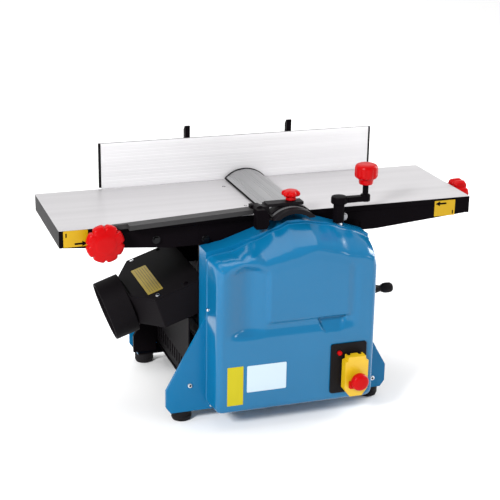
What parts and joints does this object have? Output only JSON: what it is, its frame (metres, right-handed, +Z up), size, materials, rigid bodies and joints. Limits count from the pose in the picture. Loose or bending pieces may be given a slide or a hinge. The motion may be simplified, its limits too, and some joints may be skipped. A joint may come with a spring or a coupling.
{
  "type": "thickness planer",
  "caption": "Benchtop surface planer and thicknesser with two long tables, tilting fence, bridge guard, crank-lifted thicknessing bed and a dust chute.",
  "frame": {"origin": "Middle of the bounding box, on the floor under the feet.", "axes": "X along the tables, infeed end at +X; Y from the operator to the fence; Z up."},
  "size_m": [0.766, 0.4124, 0.453],
  "materials": {
    "table_aluminium": "machined, fine grain along the length",
    "black_paint": "semi-gloss",
    "blue_paint": "gloss",
    "blue_plastic": "gloss moulding",
    "red_plastic": "gloss",
    "black_plastic": "satin",
    "yellow_plastic": "satin",
    "green_plastic": "satin",
    "grey_metal": "satin",
    "steel": "bright zinc",
    "motor_grey": "satin",
    "brass": "machined",
    "black_rubber": "matt"
  },
  "bodies": {
    "frame": {"outfeed_table": "table_aluminium", "outfeed_rails": "black_paint", "rail_bolts": "steel", "depth_nut_bar": "grey_metal", "front_bearing_plate": "black_paint", "rear_bearing_plate": "black_paint", "bottom_plate": "black_paint", "vent_panel": "black_paint", "front_side_frame": "blue_paint", "rear_side_frame": "blue_paint", "cord_gland": "black_plastic", "leg_screws": "steel", "rubber_feet": "black_rubber", "front_cover": "blue_plastic", "shaft_bearings": "steel", "motor_housing": "motor_grey", "drive_belt": "black_rubber", "feed_gearbox": "grey_metal", "feed_chain": "steel", "pawl_rod": "steel", "fence_brackets": "black_paint", "fence_pins": "steel", "switch_plate": "black_plastic", "switch_base": "black_plastic"},
    "infeed": {"infeed_table": "table_aluminium", "infeed_rails": "black_paint", "infeed_bolts": "steel"},
    "depth_control": {"depth_knob": "red_plastic"},
    "cutter": {"cutter_block": "steel", "planer_knives": "steel", "knife_gibs": "steel", "cutter_pulley": "steel"},
    "motor_rotor": {"motor_pulley": "steel"},
    "feed_in": {"infeed_roller": "steel"},
    "feed_out": {"outfeed_roller": "steel"},
    "feed_drive": {"feed_sprocket": "steel"},
    "pawls": {"kickback_pawls": "steel"},
    "bed": {"thickness_table": "table_aluminium", "lift_nut": "brass"},
    "crank": {"lift_screw": "steel", "crank_arm": "black_paint"},
    "crank_grip": {"crank_knob": "red_plastic"},
    "height_lock": {"height_lock_knob": "black_plastic"},
    "fence": {"fence_plate": "table_aluminium", "fence_end_caps": "black_plastic", "fence_posts": "black_paint"},
    "guard_knob": {"guard_pivot_knob": "red_plastic"},
    "arm": {"guard_arm": "grey_metal"},
    "holder": {"guard_holder": "grey_metal"},
    "holder_knob": {"guard_clamp_knob": "red_plastic"},
    "bridge": {"guard": "table_aluminium", "guard_end_caps": "black_plastic"},
    "chute": {"chute_hood": "black_plastic", "chute_lid": "black_plastic", "chute_screws": "steel"},
    "flap": {"switch_flap": "yellow_plastic"},
    "paddle": {"stop_paddle": "red_plastic"},
    "stop": {"stop_button": "red_plastic"},
    "start": {"start_button": "green_plastic"},
    "reset": {"reset_button": "red_plastic"}
  },
  "joints": [
    {"name": "infeed_height", "type": "slide", "parent": "frame", "child": "infeed", "axis": [0.9903, 0, -0.1392], "range_m": [0, 0.02156]},
    {"name": "depth_turn", "type": "hinge", "parent": "infeed", "child": "depth_control", "pos_m": [0.3655, 0.01425, 0.33], "axis": [1, 0, 0], "range_deg": [0, 1942.4]},
    {"name": "cutter_spin", "type": "hinge", "parent": "frame", "child": "cutter", "pos_m": [0.0035, 0.04425, 0.324], "axis": [0, 1, 0], "continuous": true},
    {"name": "motor_spin", "type": "hinge", "parent": "frame", "child": "motor_rotor", "pos_m": [-0.0695, -0.07575, 0.102], "axis": [0, 1, 0], "continuous": true},
    {"name": "feed_in_spin", "type": "hinge", "parent": "frame", "child": "feed_in", "pos_m": [-0.0485, 0.04425, 0.313], "axis": [0, 1, 0], "continuous": true},
    {"name": "feed_out_spin", "type": "hinge", "parent": "frame", "child": "feed_out", "pos_m": [0.0555, 0.04425, 0.313], "axis": [0, 1, 0], "continuous": true},
    {"name": "feed_drive_spin", "type": "hinge", "parent": "frame", "child": "feed_drive", "pos_m": [0.0035, 0.17425, 0.25], "axis": [0, 1, 0], "continuous": true},
    {"name": "pawls_swing", "type": "hinge", "parent": "frame", "child": "pawls", "pos_m": [-0.1025, 0.04425, 0.32], "axis": [0, -1, 0], "range_deg": [0, 40]},
    {"name": "bed_lift", "type": "slide", "parent": "frame", "child": "bed", "axis": [0, 0, 1], "range_m": [-0.022, 0.093]},
    {"name": "crank_turn", "type": "hinge", "parent": "frame", "child": "crank", "pos_m": [0.0945, -0.08475, 0.3], "axis": [0, 0, 1], "range_deg": [-11165, 2645]},
    {"name": "crank_grip_spin", "type": "hinge", "parent": "crank", "child": "crank_grip", "pos_m": [0.1425, -0.08475, 0.4], "axis": [0, 0, 1], "continuous": true},
    {"name": "height_lock_turn", "type": "hinge", "parent": "frame", "child": "height_lock", "pos_m": [0.1555, -0.08475, 0.2], "axis": [1, 0, 0], "range_deg": [-90, 90]},
    {"name": "fence_tilt", "type": "hinge", "parent": "frame", "child": "fence", "pos_m": [-0.0065, 0.16625, 0.356], "axis": [-1, 0, 0], "range_deg": [0, 45]},
    {"name": "guard_knob_turn", "type": "hinge", "parent": "frame", "child": "guard_knob", "pos_m": [-0.3115, -0.08075, 0.328], "axis": [0, -1, 0], "range_deg": [-180, 180]},
    {"name": "arm_lift", "type": "hinge", "parent": "frame", "child": "arm", "pos_m": [-0.3115, -0.07175, 0.328], "axis": [0, -1, 0], "range_deg": [0, 14]},
    {"name": "holder_level", "type": "hinge", "parent": "arm", "child": "holder", "pos_m": [-0.0515, -0.08575, 0.366], "axis": [0, -1, 0], "range_deg": [-14.5, 0.5]},
    {"name": "holder_knob_turn", "type": "hinge", "parent": "holder", "child": "holder_knob", "pos_m": [0.0075, -0.08175, 0.38], "axis": [0, 0, 1], "range_deg": [-180, 180]},
    {"name": "bridge_slide", "type": "slide", "parent": "holder", "child": "bridge", "axis": [0, -1, 0], "range_m": [0, 0.2]},
    {"name": "chute_pull", "type": "slide", "parent": "frame", "child": "chute", "axis": [-0.9455, 0, -0.3256], "range_m": [0, 0.15]},
    {"name": "flap_lift", "type": "hinge", "parent": "frame", "child": "flap", "pos_m": [0.1015, -0.16975, 0.1155], "axis": [-1, 0, 0], "range_deg": [0, 88]},
    {"name": "paddle_press", "type": "slide", "parent": "flap", "child": "paddle", "axis": [0, 1, 0], "range_m": [0, 0.003], "stiffness_N_per_m": 300},
    {"name": "stop_press", "type": "slide", "parent": "frame", "child": "stop", "axis": [0, 1, 0], "range_m": [0, 0.003], "stiffness_N_per_m": 300},
    {"name": "start_press", "type": "slide", "parent": "frame", "child": "start", "axis": [0, 1, 0], "range_m": [0, 0.003], "stiffness_N_per_m": 300},
    {"name": "reset_press", "type": "slide", "parent": "frame", "child": "reset", "axis": [0, 1, 0], "range_m": [0, 0.0025], "stiffness_N_per_m": 300}
  ],
  "couplings": [
    {"joint": "depth_turn", "follows": "infeed_height", "rad_per_m": 1570.8},
    {"joint": "motor_spin", "follows": "cutter_spin", "ratio": 0.31818},
    {"joint": "feed_out_spin", "follows": "feed_in_spin", "ratio": 1},
    {"joint": "feed_drive_spin", "follows": "feed_in_spin", "ratio": 1.6667},
    {"joint": "crank_turn", "follows": "bed_lift", "rad_per_m": -2094.4},
    {"joint": "holder_level", "follows": "arm_lift", "ratio": -1}
  ]
}
